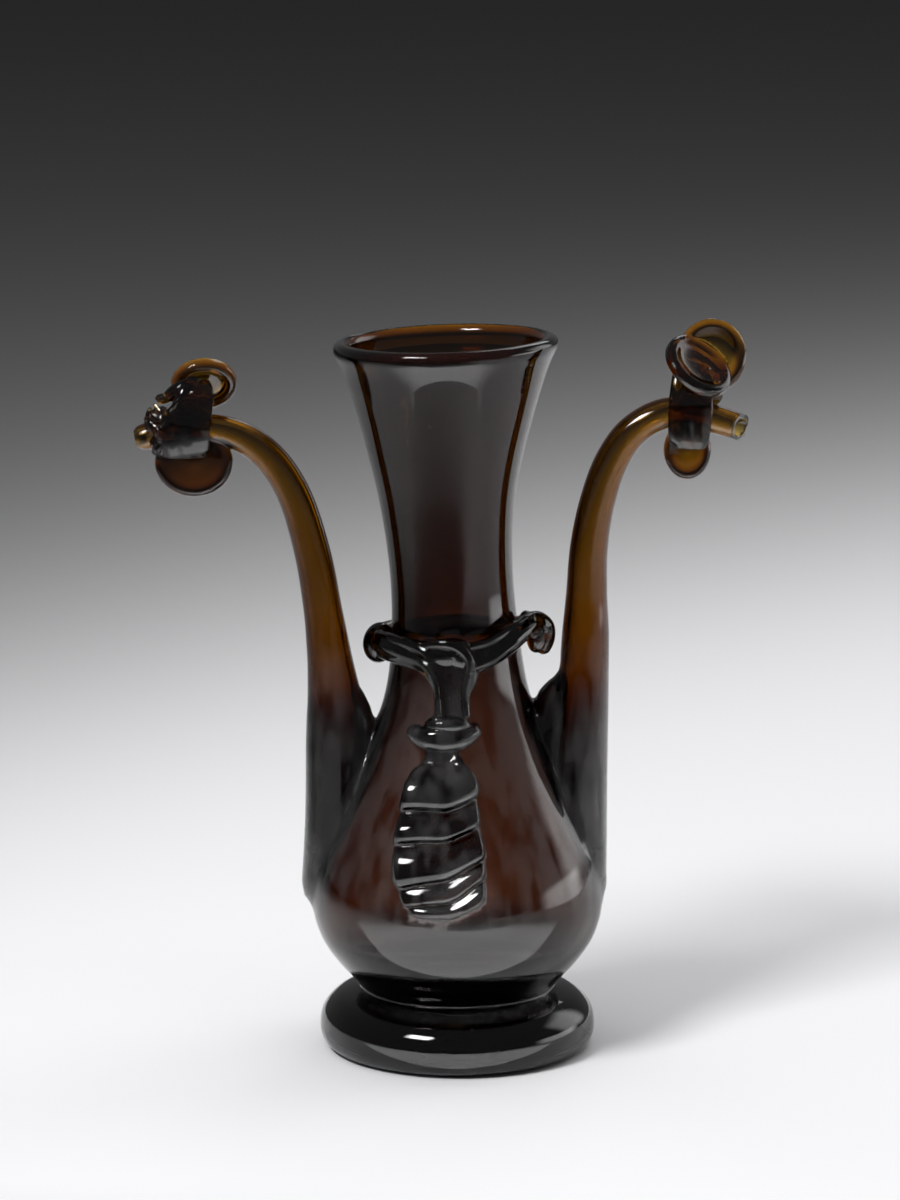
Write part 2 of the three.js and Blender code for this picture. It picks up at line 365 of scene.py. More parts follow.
def knob(at: Place, half: Place, turn: Place = (0.0, 0.0, 0.0), grain: Grain = Grain.LARGE) -> Shell:
    """Rounds a gather of glass into a ball drawn out along its own axes.

    Args:
        at: The middle of the ball.
        half: Its half sizes before it is turned.
        turn: Its turns in degrees, of which Z comes first.
        grain: How finely it is divided.

    Returns:
        A closed shell.
    """
    shell = bmesh.new()
    turned = Euler([math.radians(angle) for angle in turn], "ZYX").to_matrix().to_4x4()
    place = Matrix.Translation(at) @ turned @ Matrix.Diagonal((*half, 1.0))
    bmesh.ops.create_icosphere(shell, subdivisions=grain.value, radius=1.0, matrix=place)
    return outward(shell)


@dataclass(frozen=True)
class PinchedDisc:
    """A disc pinched out of a ribbon of glass, thick at its rim and thinner in its middle."""

    at: Place
    half: Place
    facing: Place
    middle: float = 0.55
    sides: int = 56

    def shell(self) -> Shell:
        """Builds the disc.

        Returns:
            A closed shell in its place.
        """
        front = [(0.0, self.middle), (0.55, self.middle + 0.13), (0.82, 1.0), (0.96, 0.7), (1.0, 0.0)]
        back = [(radius, -rise) for radius, rise in front[-2::-1]]
        half_width, half_thickness, half_height = self.half
        disc = lathe(Flow((front + back)[::-1]).points(36), self.sides)
        quarter = Matrix.Rotation(math.pi / 2.0, 4, "X")
        turn = FORWARD.rotation_difference(Vector(self.facing)).to_matrix().to_4x4()
        size = Matrix.Diagonal((half_width, half_height, half_thickness, 1.0))
        bmesh.ops.transform(
            disc, matrix=Matrix.Translation(self.at) @ turn @ quarter @ size, verts=disc.verts[:]
        )
        return outward(disc)


def mesh_of(shell: Shell, name: str) -> Mesh:
    """Turns a shell into a named mesh.

    Args:
        shell: The shell, which is used up.
        name: The mesh's name.

    Returns:
        The mesh.
    """
    mesh = bpy.data.meshes.new(name)
    shell.to_mesh(mesh)
    shell.free()
    return mesh


def placed(name: str, data: ID) -> Object:
    """Puts a new object into the scene.

    Args:
        name: The object's name.
        data: What it shows: a mesh, a light or a camera.

    Returns:
        The object.
    """
    item = bpy.data.objects.new(name, data)
    bpy.context.scene.collection.objects.link(item)
    return item


class Gather:
    """Glass that is being put together: one mesh that others are fused to or cut from."""

    def __init__(self, name: str, shell: Shell) -> None:
        """Starts a named mesh from one closed shell, which is used up."""
        self.mesh = mesh_of(shell, name)

    def fuse(self, shells: Sequence[Shell], how: Fuse = Fuse.JOIN) -> "Gather":
        """Joins shells to the gather, or cuts them from it.

        Args:
            shells: Closed shells, which are used up.
            how: Whether they are joined or cut.

        Returns:
            The same gather.
        """
        for shell in shells:
            base = placed("gather", self.mesh)
            tool = placed("added", mesh_of(shell, "added"))
            meeting = base.modifiers.new("meeting", "BOOLEAN")
            meeting.operation = how.value
            meeting.solver = "MANIFOLD"
            meeting.object = tool
            view = bpy.context.evaluated_depsgraph_get()
            fused = bpy.data.meshes.new_from_object(base.evaluated_get(view))
            used_meshes = (self.mesh, tool.data)
            for item in (base, tool):
                bpy.data.objects.remove(item)
            for mesh in used_meshes:
                bpy.data.meshes.remove(mesh)
            self.mesh = fused
        return self

    def soften(self, reach: float, rounds: int, crease: float = 22.0) -> "Gather":
        """Lets the glass flow along each inward crease, as hot glass does at a join.

        Args:
            reach: How far from a crease it flows.
            rounds: How many times it is smoothed.
            crease: The least angle of a crease in degrees.

        Returns:
            The same gather.
        """
        shell = bmesh.new()
        shell.from_mesh(self.mesh)
        bmesh.ops.triangulate(shell, faces=[face for face in shell.faces if len(face.verts) > 4])
        shell.normal_update()
        sharp = math.radians(crease)
        creased = [
            edge for edge in shell.edges if edge.is_manifold and edge.calc_face_angle_signed(0.0) < -sharp
        ]
        if creased:
            tree = KDTree(len(creased) * 2)
            for number, edge in enumerate(creased):
                tree.insert(edge.verts[0].co, number * 2)
                tree.insert(edge.verts[1].co, number * 2 + 1)
            tree.balance()
            near = [vert for vert in shell.verts if tree.find(vert.co)[2] < reach]
            for _ in range(rounds):
                bmesh.ops.smooth_vert(
                    shell, verts=near, factor=0.5, use_axis_x=True, use_axis_y=True, use_axis_z=True
                )
        shell.to_mesh(self.mesh)
        shell.free()
        return self


# The vessel


@dataclass(frozen=True)
class Vessel:
    """The blown body, neck and mouth."""

    lip_height: float = 172.8
    lip_radius: float = 25.0
    lip_round: float = 2.2
    base_height: float = 17.6
    base_radius: float = 25.4
    foot_top: float = 15.2
    collar_radius: float = 23.8
    wall: float = 2.6
    neck_wall: float = 3.0
    neck_start: float = 80.0
    floor_thickness: float = 4.5
    floor_round: float = 1.5
    floor_step: float = 8.0
    sunk: float = 2.0
    run_out: float = 6.0
    lean: float = 2.9
    lean_start: float = 85.0
    lean_end: float = 150.0
    mouth_tilt: float = 0.035
    mouth_tilt_start: float = 150.0
    sides: int = 144
    stations: Line = (
        (25.4, 17.6), (29.8, 22.4), (33.7, 28.6), (35.8, 37.6), (34.4, 46.6), (31.0, 55.1),
        (25.8, 66.1), (20.8, 78.1), (17.5, 88.6), (15.8, 99.6), (14.9, 116.6), (16.2, 134.1),
        (18.8, 147.1), (22.2, 159.6), (25.0, 168.3),
    )

    def _leaned(self, point: Vector) -> Vector:
        """Leans the neck and tilts the mouth.

        Args:
            point: A point of the upright form.

        Returns:
            Its place after both.
        """
        x, y, z = point
        z += x * self.mouth_tilt * smooth_rise(z, self.mouth_tilt_start, self.lip_height)
        x -= self.lean * smooth_rise(z, self.lean_start, self.lean_end)
        return Vector((x, y, z))

    def outside(self) -> Shell:
        """Builds the solid outer form as a closed shell from the collar to the lip."""
        profile = [
            (0.0, self.foot_top - self.sunk),
            (self.collar_radius - 1.0, self.foot_top - self.sunk),
            (self.collar_radius, self.foot_top + 0.4),
            *Flow(self.stations).points(84),
            *arc((self.lip_radius, self.lip_height), self.lip_round, -60.0, 110.0, 14),
            (0.0, self.lip_height + self.lip_round - 0.2),
        ]
        return reshape(lathe(profile, self.sides), self._leaned)

    def hollow(self) -> Shell:
        """Builds the space inside.

        Returns:
            A closed shell that follows the outside at the wall's thickness and runs out of the mouth.
        """
        floor_height = self.base_height + self.floor_thickness
        inside = []
        for radius, height in self.stations[1:]:
            neck = smooth_rise(height, self.neck_start, self.lean_end - 40.0)
            inside.append((radius - self.wall - (self.neck_wall - self.wall) * neck, height))
        inside[0] = (self.base_radius - self.floor_round, floor_height + self.floor_round)
        profile = [
            (0.0, floor_height),
            (self.base_radius - self.floor_step, floor_height),
            *Flow(inside).points(60),
            *arc((self.lip_radius + 0.4, self.lip_height), self.lip_round, 180.0, 120.0, 8),
            (self.lip_radius + 0.6, self.lip_height + self.run_out),
            (0.0, self.lip_height + self.run_out),
        ]
        return reshape(lathe(profile, self.sides), self._leaned)


@dataclass(frozen=True)
class PadFoot:
    """The thick pad that the body stands on."""

    standing_radius: float = 28.6
    radius: float = 33.7
    edge_height: float = 6.2
    top: float = 15.2
    collar_radius: float = 23.8
    hollow_outer: float = 21.0
    hollow_inner: float = 8.0
    hollow_depth: float = 0.8
    sides: int = 144

    def shell(self) -> Shell:
        """Builds the pad.

        Returns:
            A closed shell with its ground underside.
        """
        edge = Flow([
            (self.standing_radius, 0.0),
            (32.1, 1.1), (33.4, 3.3),
            (self.radius, self.edge_height),
            (32.8, 9.6), (29.6, 12.9),
            (self.collar_radius, self.top),
        ]).points(36)
        profile = [
            (0.0, 0.0),
            (self.hollow_inner, 0.0),
            (self.hollow_inner + 2.0, self.hollow_depth),
            (self.hollow_outer - 2.0, self.hollow_depth),
            (self.hollow_outer, 0.0),
            *edge,
            (0.0, self.top),
        ]
        return lathe(profile, self.sides)


# The spouts


@dataclass(frozen=True)
class Spout:
    """A hollow tube that springs from the flank. Stations are x, height, half across and half depth.

    The bore ends in the body, at a height and with a half width that bore_end gives.
    """

    line: Line
    past_tip: tuple[float, float]
    web: Line
    cut: tuple[Place, Place] | None = None
    bore_share: float = 0.7
    widest_bore: float = 4.3
    bore_end: tuple[float, float] = (52.0, 4.8)
    sides: int = 40
    rings: int = 150

    @staticmethod
    def _trail(line: Line, sides: int, rings: int) -> Shell:
        """Draws a trail along a line of stations in the plane of the two spouts."""
        return strand([(x, 0.0, height, *halves) for x, height, *halves in line], sides, rings)

    def outsides(self) -> list[Shell]:
        """Builds the outer form from the root to the tip, and the web that joins it to the shoulder.

        Returns:
            Two closed shells.
        """
        tube = self._trail(self.line, self.sides, self.rings)
        if self.cut:
            cut_off(tube, *self.cut)
        return [tube, self._trail(self.web, self.sides, self.rings // 3)]

    def bore(self) -> Shell:
        """Builds the space inside.

        Returns:
            A closed shell from inside the body to past the tip.
        """
        end_height, end_half = self.bore_end
        slim = []
        for x, height, across, _ in self.line:
            if height > end_height:
                half = min(across * self.bore_share, self.widest_bore)
                slim.append((x, height, half, half))
        root = (slim[0][0], end_height - 2.0, end_half, end_half)
        tip_x, tip_height, tip_half, _ = slim[-1]
        end = (tip_x + self.past_tip[0], tip_height + self.past_tip[1], tip_half, tip_half)
        return self._trail([root, *slim, end], 32, 110)


# The spout whose tip is broken
LEFT_SPOUT = Spout(
    line=(
        (-30.6, 31.6, 2.0, 3.0), (-30.1, 33.4, 5.4, 6.5), (-29.6, 36.6, 7.9, 9.4),
        (-29.2, 41.6, 8.9, 11.2), (-28.8, 49.6, 8.8, 11.4), (-28.4, 62.6, 8.7, 10.2),
        (-28.5, 74.6, 8.5, 9.0), (-29.2, 82.6, 7.6, 7.8), (-30.1, 89.0, 6.4, 6.6),
        (-31.0, 96.6, 5.5, 5.6), (-32.6, 108.6, 4.7, 4.8), (-35.1, 122.9, 4.4, 4.5),
        (-39.6, 137.3, 4.1, 4.1), (-45.2, 145.9, 3.9, 3.9), (-52.4, 151.2, 3.7, 3.7),
        (-60.5, 153.2, 3.4, 3.4), (-68.5, 152.4, 3.3, 3.3), (-74.0, 151.3, 3.3, 3.3),
        (-76.2, 150.8, 3.0, 3.0), (-77.4, 150.5, 2.2, 2.2),
    ),
    past_tip=(-4.0, -1.0),
    web=(
        (-29.0, 92.0, 3.0, 3.0), (-26.4, 86.0, 4.2, 4.6), (-24.2, 79.6, 4.6, 5.6),
        (-22.8, 72.0, 4.6, 6.0), (-22.4, 64.0, 4.0, 5.0),
    ),
)

# The spout whose tip is whole
RIGHT_SPOUT = Spout(
    line=(
        (30.2, 31.6, 2.0, 3.0), (29.8, 33.4, 5.0, 6.5), (29.2, 36.6, 7.2, 9.4),
        (28.5, 41.6, 8.1, 11.2), (28.5, 49.6, 8.1, 11.4), (28.6, 62.6, 8.0, 10.2),
        (29.0, 74.6, 7.7, 9.0), (29.9, 84.0, 6.9, 7.6), (30.7, 93.4, 6.1, 6.4),
        (31.1, 103.4, 5.7, 5.7), (31.3, 112.6, 5.0, 5.0), (31.8, 124.0, 4.6, 4.6),
        (33.8, 135.3, 4.3, 4.3), (37.2, 145.2, 4.1, 4.1), (42.2, 152.4, 3.9, 3.9),
        (49.8, 156.7, 3.7, 3.7), (57.2, 156.5, 3.6, 3.6), (63.4, 154.8, 3.4, 3.4),
        (69.8, 152.8, 3.2, 3.2),
    ),
    past_tip=(4.0, -1.2),
    cut=((68.0, 0.0, 153.2), (0.79, -0.57, -0.2)),
    web=(
        (29.6, 96.0, 2.6, 3.0), (27.0, 90.4, 4.0, 4.4), (24.0, 85.4, 5.2, 5.4),
        (22.0, 79.6, 5.6, 6.4), (21.6, 72.0, 5.2, 6.4), (22.0, 64.0, 4.4, 5.4),
    ),
)


# What is trailed on the neck and the spouts


def twisted(turns: float, strands: int, depth: float) -> Section:
    """Gives a round section the strands of a twisted thread.

    Args:
        turns: How many times the strands go round.
        strands: How many strands there are.
        depth: How deep the grooves are, as a share of the radius.

    Returns:
        The section's shape.
    """

    def section(share: float, across: float, rise: float) -> tuple[float, float]:
        """Draws the section in between the strands."""
        angle = math.atan2(rise, across)
        swell = 1.0 - depth * (0.5 - 0.5 * math.cos(strands * (angle - 2.0 * math.pi * turns * share)))
        return across * swell, rise * swell

    return section


def strap(ribs: float, rib_depth: float, fullness: float = 0.6) -> Section:
    """Flattens a round section into a drawn strap with fine lengthwise ribs.

    Args:
        ribs: How many ribs cross its face.
        rib_depth: How deep the grooves are, as a share of the thickness.
        fullness: 1 leaves the section round, less makes it flatter.

    Returns:
        The section's shape.
    """

    def section(share: float, across: float, rise: float) -> tuple[float, float]:
        """Flattens the section and cuts the grooves, which wander a little."""
        flat = math.copysign(abs(rise) ** fullness, rise)
        place = across + 0.15 * math.sin(4.0 * share)
        groove = rib_depth * (0.5 - 0.5 * math.cos(math.pi * ribs * place))
        return across, flat * (1.0 - groove)

    return section


@dataclass(frozen=True)
class NeckThread:
    """The thread wound round the base of the neck, with an ear pinched up at each side."""

    ring: Line = (
        (-20.0, -1.0, 101.8, 2.6), (-15.6, -10.2, 101.6, 2.4), (-9.4, -15.3, 101.6, 2.6),
        (-1.6, -17.2, 101.6, 2.6), (5.2, -16.6, 101.4, 2.7), (11.4, -12.6, 103.4, 2.7),
        (16.4, -7.0, 105.2, 2.5), (18.9, 0.6, 104.5, 2.6), (14.6, 9.4, 102.8, 2.5),
        (7.4, 15.4, 102.2, 2.6), (-1.4, 17.2, 101.8, 2.7), (-10.4, 14.2, 101.6, 2.7),
        (-16.8, 7.8, 101.6, 2.7),
    )
    left_fold: Line = (
        (-19.6, -3.4, 101.2, 3.4, 2.2), (-16.6, -9.6, 101.4, 3.5, 2.0), (-12.4, -14.4, 101.2, 3.6, 1.9),
        (-8.2, -17.6, 100.0, 3.3, 1.7), (-6.0, -18.9, 97.4, 2.4, 1.5), (-4.8, -19.2, 94.0, 1.5, 1.3),
        (-4.3, -19.4, 90.6, 1.2, 1.2),
    )
    right_arm: Line = (
        (-4.2, -18.6, 102.6, 1.6, 1.6), (-0.6, -19.4, 101.0, 2.8, 2.3), (3.4, -19.2, 100.2, 3.5, 2.6),
        (7.6, -16.9, 101.6, 3.5, 2.7), (12.0, -13.4, 103.8, 3.3, 2.7), (16.4, -8.2, 106.0, 2.8, 2.6),
        (19.2, -4.2, 106.6, 2.5, 2.5), (21.3, -2.6, 104.9, 2.2, 2.5), (21.5, -2.2, 102.0, 2.1, 2.6),
        (20.6, -2.2, 99.6, 1.9, 2.2), (19.9, -2.2, 98.5, 0.9, 1.0),
    )
    crossing: Line = (
        (-7.4, -17.6, 104.2, 1.4, 1.3), (-4.6, -19.2, 103.6, 1.9, 1.7), (-0.6, -20.2, 102.2, 2.3, 1.8),
        (2.8, -19.6, 99.6, 2.1, 1.6), (3.4, -19.0, 96.2, 1.5, 1.3), (2.6, -18.9, 92.6, 1.1, 1.1),
    )
    folds: Sequence[Line] = (
        ((-18.4, -6.6, 103.6, 1.0, 0.9), (-14.8, -12.6, 103.6, 1.3, 1.1), (-10.6, -16.9, 103.2, 1.4, 1.2),
         (-7.2, -19.6, 101.6, 1.2, 1.0), (-6.2, -20.6, 98.8, 0.9, 0.8)),
        ((-7.6, -19.0, 103.4, 0.9, 0.8), (-4.2, -20.8, 104.4, 1.2, 1.0), (-0.2, -21.6, 103.8, 1.3, 1.1),
         (2.6, -21.9, 101.0, 1.2, 1.0), (3.0, -21.9, 97.4, 0.9, 0.8)),
        ((3.6, -21.2, 98.8, 0.9, 0.8), (7.8, -19.4, 100.2, 1.2, 1.0), (12.2, -15.9, 102.6, 1.2, 1.0),
         (16.6, -10.8, 105.0, 1.0, 0.9), (19.4, -7.0, 106.0, 0.8, 0.7)),
        ((3.4, -20.4, 103.6, 0.8, 0.8), (8.2, -17.6, 104.6, 1.0, 0.9), (13.0, -12.8, 106.8, 0.9, 0.9),
         (16.8, -8.0, 108.4, 0.8, 0.8)),
    )

    def shells(self) -> list[Shell]:
        """Builds the ring, the arms and folds that are drawn over it, and the ears."""
        return [
            *(strand(line, 20, 60) for line in self.folds),
            loop(self.ring, UPRIGHT, 24, 160),
            strand(self.left_fold, 32, 90, strap(2.0, 0.3, 0.8)),
            strand(self.right_arm, 36, 110, strap(1.6, 0.16, 0.9)),
            strand(self.crossing, 32, 80, twisted(0.8, 3, 0.24)),
            knob((-18.9, -2.4, 101.0), (4.0, 4.4, 5.0), (0.0, 10.0, 0.0)),
            knob((16.6, -3.4, 107.2), (1.7, 2.2, 1.9), grain=Grain.SMALL),
            knob((19.5, -2.4, 102.6), (2.7, 2.7, 4.2), (0.0, 10.0, 0.0)),
            knob((-2.2, -18.6, 101.6), (5.8, 3.1, 3.6), (0.0, -14.0, 0.0)),
        ]


@dataclass(frozen=True)
class CrimpedPad:
    """The pad on the pendant's end, crimped into lobes that overlap like shingles.

    Each lobe is given by the heights of its upper and lower edge and how far its nose stands out.
    """

    line: Line = (
        (-3.6, -21.8, 81.0, 4.4, 2.8), (-3.6, -22.8, 77.6, 4.5, 2.6), (-3.6, -23.4, 75.6, 5.6, 2.5),
        (-3.7, -24.2, 73.6, 7.8, 2.4), (-3.8, -25.1, 71.0, 9.0, 2.4), (-4.2, -26.6, 66.4, 9.6, 2.4),
        (-4.5, -28.3, 61.6, 10.4, 2.4), (-4.6, -29.9, 57.2, 11.2, 2.4), (-4.4, -31.5, 52.4, 11.5, 2.4),
        (-3.8, -32.7, 48.0, 11.0, 2.3), (-3.3, -33.4, 44.6, 10.3, 2.3), (-3.1, -33.9, 42.0, 8.4, 2.0),
        (-3.0, -34.3, 40.5, 5.4, 1.5), (-3.0, -34.6, 39.7, 2.0, 0.8),
    )
    lobes: Sequence[tuple[float, float, float]] = (
        (75.5, 64.6, 2.7), (64.6, 57.6, 2.1), (57.6, 49.0, 2.5), (49.0, 44.0, 1.5), (44.0, 38.4, 2.2),
    )
    nose: float = 0.26
    lift: float = 5.0
    squareness: float = 0.7
    slimmest: float = 0.93
    spread: float = 0.026
    half_depth: float = 2.4
    sides: int = 90
    rings: int = 210

    def _swell(self, height: float) -> float:
        """Finds how far the face stands out: nothing in a crease, most at a lobe's nose.

        Args:
            height: The height along the slanted lobes.

        Returns:
            How far it stands out.
        """
        for upper, lower, most in self.lobes:
            if lower <= height <= upper:
                place = (upper - height) / (upper - lower)
                if place < 1.0 - self.nose:
                    return most * math.sin(0.5 * math.pi * place / (1.0 - self.nose))
                past = (place - 1.0 + self.nose) / self.nose
                return most * math.sqrt(max(1.0 - past * past, 0.0))
        return 0.0

    def shell(self) -> Shell:
        """Builds the pad.

        Returns:
            A closed shell whose front is crimped.
        """
        path = Flow([station[:3] for station in self.line])

        def crimped(share: float, across: float, depth: float) -> tuple[float, float]:
            """Squares the section and raises its front into the lobes."""
            flat = math.copysign(abs(depth) ** self.squareness, depth)
            rise = self.lift * max(across - 0.1, 0.0) ** 1.4 - 0.5 * max(-across - 0.5, 0.0)
            swell = self._swell(path.at(share).z - rise)
            wider = self.slimmest + self.spread * swell
            if depth < 0.0:
                flat -= swell / self.half_depth * min(1.0, 2.2 * abs(depth) ** 0.8)
            return across * wider, flat

        return strand(self.line, self.sides, self.rings, crimped)


@dataclass(frozen=True)
class Pendant:
    """The stem, knob and crimped pad that hang on the front."""

    stem: Line = (
        (-2.0, -18.2, 102.4, 5.6, 2.6), (-1.8, -19.2, 98.4, 5.0, 2.9), (-1.2, -19.6, 93.6, 3.9, 2.9),
        (-1.3, -20.2, 89.6, 3.6, 2.9), (-1.6, -20.8, 86.6, 4.0, 3.0), (-2.4, -21.4, 83.6, 5.2, 3.2),
    )
    roll: Line = (
        (-10.3, -18.4, 82.9, 1.8, 1.6), (-9.8, -20.4, 82.5, 2.4, 2.3), (-6.8, -22.6, 81.6, 2.6, 2.9),
        (-3.2, -23.4, 81.3, 2.6, 3.1), (0.5, -22.7, 81.8, 2.6, 2.9), (3.3, -20.6, 82.9, 2.4, 2.3),
        (3.9, -18.6, 83.4, 1.8, 1.6),
    )
    ridges: Sequence[Line] = (
        ((-9.6, -18.6, 100.6, 0.9, 0.8), (-7.0, -20.6, 98.6, 1.2, 1.0), (-5.3, -21.7, 95.4, 1.0, 0.9),
         (-4.7, -22.2, 91.6, 0.8, 0.8), (-4.8, -22.9, 87.6, 0.9, 0.8), (-5.9, -23.2, 85.2, 0.8, 0.7)),
        ((2.6, -20.8, 101.4, 1.0, 0.9), (2.9, -21.5, 98.2, 1.3, 1.0), (2.0, -22.0, 94.4, 1.2, 0.9),
         (1.8, -22.4, 90.4, 1.0, 0.8), (2.2, -22.9, 87.0, 0.8, 0.7)),
    )
    pad: CrimpedPad = CrimpedPad()

    def shells(self) -> list[Shell]:
        """Builds the stem, the knob with its lip, and the pad.

        Returns:
            Closed shells.
        """

        def hollowed(share: float, across: float, depth: float) -> tuple[float, float]:
            """Hollows the face between two raised edges."""
            ridge = 0.6 + 0.62 * across * across
            return across, math.copysign(abs(depth) ** 0.6, depth) * ridge

        return [
            strand(self.stem, 48, 50, hollowed),
            knob((-3.6, -20.8, 81.9), (7.4, 5.0, 3.4), (-10.0, -4.0, 0.0)),
            knob((-2.4, -21.4, 84.8), (5.6, 3.9, 2.6), (-10.0, 0.0, 0.0)),
            strand(self.roll, 32, 60, axis=UPRIGHT),
            *(strand(line, 20, 60) for line in self.ridges),
            self.pad.shell(),
        ]


@dataclass(frozen=True)
class RibbonEars:
    """Ribbons trailed round a spout near its tip and pinched out into discs."""

    folds: Sequence[tuple[Place, Place, Place]]
    discs: Sequence[PinchedDisc]
    straps: Sequence[Line]
    shattered: Sequence[tuple[Place, Place, Place]] = ()
    cracks: Sequence[Line] = ()

    def shells(self) -> list[Shell]:
        """Builds the folds, the discs, the broken glass and the straps that wrap round the tube.

        Returns:
            Closed shells.
        """
        parts = [knob(at, half, turn) for at, half, turn in self.folds]
        parts += [disc.shell() for disc in self.discs]
        for number, (at, half, turn) in enumerate(self.shattered):
            parts.append(crackled(knob(at, half, turn), 170, 0.8, number))
        parts += [strand(line, 12, 36) for line in self.cracks]
        return parts + [strand(line, 56, 80, strap(3.0, 0.16)) for line in self.straps]


# The ears of the broken spout
LEFT_EARS = RibbonEars(
    folds=(
        ((-65.4, 0.0, 153.4), (5.2, 4.4, 7.6), (0.0, 12.0, 0.0)),
        ((-66.2, -1.8, 162.9), (5.2, 2.2, 2.1), (0.0, -30.0, 0.0)),
        ((-70.6, -2.0, 160.6), (1.9, 1.5, 1.3), (0.0, 0.0, 0.0)),
    ),
    shattered=(
        ((-70.6, -1.8, 154.4), (4.6, 3.4, 3.9), (0.0, 40.0, 0.0)),
        ((-70.2, -3.4, 151.0), (3.4, 2.4, 4.6), (0.0, 25.0, 0.0)),
    ),
    cracks=(
        ((-73.6, -2.8, 149.2, 0.4, 0.4), (-72.3, -4.6, 151.2, 0.6, 0.5), (-71.0, -5.7, 154.4, 0.5, 0.5),
         (-69.2, -6.0, 157.6, 0.6, 0.6), (-67.4, -5.8, 160.2, 0.4, 0.4)),
        ((-72.6, -3.2, 159.4, 0.4, 0.4), (-70.3, -5.0, 157.6, 0.6, 0.5), (-68.4, -6.2, 158.8, 0.6, 0.6),
         (-66.6, -6.4, 160.9, 0.5, 0.5)),
        ((-75.0, -2.4, 155.8, 0.4, 0.4), (-73.0, -4.6, 154.8, 0.6, 0.5), (-71.2, -5.9, 152.8, 0.6, 0.5),
         (-70.5, -5.8, 150.4, 0.4, 0.4)),
        ((-73.6, -2.4, 158.4, 0.4, 0.4), (-74.2, -3.4, 156.8, 0.6, 0.5), (-73.6, -4.4, 154.4, 0.5, 0.5),
         (-72.2, -5.4, 152.2, 0.5, 0.5)),
    ),
    discs=(
        PinchedDisc((-61.0, 2.4, 163.6), (7.9, 1.9, 6.7), (0.1, -0.9, -0.4), middle=0.4),
        PinchedDisc((-63.4, -0.4, 144.8), (9.4, 2.3, 8.2), (0.0, -1.0, 0.1), middle=0.75),
    ),
    straps=(
        ((-62.0, -0.4, 164.6, 2.8, 1.4), (-62.4, -3.6, 162.4, 4.2, 1.5), (-63.6, -5.0, 158.2, 5.0, 1.5),
         (-64.6, -5.9, 154.6, 5.5, 1.6), (-65.2, -5.6, 151.4, 5.9, 1.5), (-65.2, -4.6, 148.6, 5.8, 1.5),
         (-65.1, -3.4, 147.0, 5.2, 1.3)),
    ),
)

# The ears of the whole spout
RIGHT_EARS = RibbonEars(
    folds=(
        ((55.8, 0.2, 156.2), (5.0, 4.2, 7.4), (0.0, 0.0, 0.0)),
        ((60.6, 2.2, 161.2), (3.4, 1.6, 3.2), (0.0, 30.0, 0.0)),
    ),
    discs=(
        PinchedDisc((57.6, -2.4, 168.6), (8.9, 1.6, 8.9), (0.50, -0.52, 0.69), middle=0.4),
        PinchedDisc((61.2, 3.8, 170.2), (8.5, 1.5, 8.9), (0.2, -0.95, 0.15), middle=0.5),
        PinchedDisc((55.3, -0.6, 147.9), (5.7, 2.0, 7.0), (0.0, -1.0, 0.0), middle=0.6),
    ),
    straps=(
        ((56.2, -1.4, 168.4, 4.4, 1.4), (55.9, -3.8, 164.6, 4.8, 1.5), (55.8, -5.0, 161.2, 5.2, 1.5),
         (55.7, -5.3, 157.4, 5.3, 1.5), (55.5, -5.3, 153.6, 5.1, 1.5), (55.4, -4.9, 151.0, 4.8, 1.4),
         (55.3, -4.2, 149.3, 4.0, 1.2)),
    ),
)


# Finishes


class NodeBoard:
    """Adds and links nodes on one node tree."""

    def __init__(self, tree: NodeTree) -> None:
        """Clears the tree that is to be filled."""
        self.tree = tree
        tree.nodes.clear()

    def add(self, kind: str, **settings: object) -> Node:
        """Adds a node.

        Args:
            kind: The node's type name.
            settings: Properties of the node, or inputs by their names with underscores.

        Returns:
            The new node.
        """
        node = self.tree.nodes.new(kind)
        for name, value in settings.items():
            if name in node.bl_rna.properties:
                setattr(node, name, value)
            else:
                node.inputs[name.replace("_", " ")].default_value = value
        return node

    def link(self, source: Socket, target: Socket) -> None:
        """Links an output to an input."""
        self.tree.links.new(source, target)

    def math(self, operation: str, *values: Socket | float) -> Socket:
        """Adds one step of arithmetic.

        Args:
            operation: The name of the operation.
            values: What it works on, as outputs or plain numbers.

        Returns:
            The output that holds the result.
        """
        node = self.add("ShaderNodeMath", operation=operation)
        for number, value in enumerate(values):
            if isinstance(value, Socket):
                self.link(value, node.inputs[number])
            else:
                node.inputs[number].default_value = value
        return node.outputs["Value"]

    def chain(self, kind: str, source: Socket, **settings: object) -> Node:
        """Adds a node whose first input is fed by source.

        Args:
            kind: The node's type name.
            source: The output that feeds it.
            settings: As in add.

        Returns:
            The new node.
        """
        node = self.add(kind, **settings)
        self.link(source, node.inputs[0])
        return node

    def fall(self, value: Socket, start: float, end: float) -> Socket:
        """Adds a smooth fall from 1 to 0.

        Args:
            value: The output that it depends on.
            start: Where the fall begins.
            end: Where it is complete.

        Returns:
            The output that holds the result.
        """
        edges = {"From_Min": start, "From_Max": end, "To_Min": 1.0, "To_Max": 0.0}
        node = self.chain("ShaderNodeMapRange", value, interpolation_type="SMOOTHSTEP", **edges)
        return node.outputs["Result"]

    def colour(self, tone: Socket, cast: Place) -> Socket:
        """Adds a colour that is one tone times a share for each channel.

        Args:
            tone: The output that holds the tone.
            cast: The shares of red, green and blue.

        Returns:
            The output that holds the colour.
        """
        mixed = self.add("ShaderNodeCombineColor")
        for channel, share in zip(("Red", "Green", "Blue"), cast):
            self.link(self.math("MULTIPLY", tone, share), mixed.inputs[channel])
        return mixed.outputs["Color"]


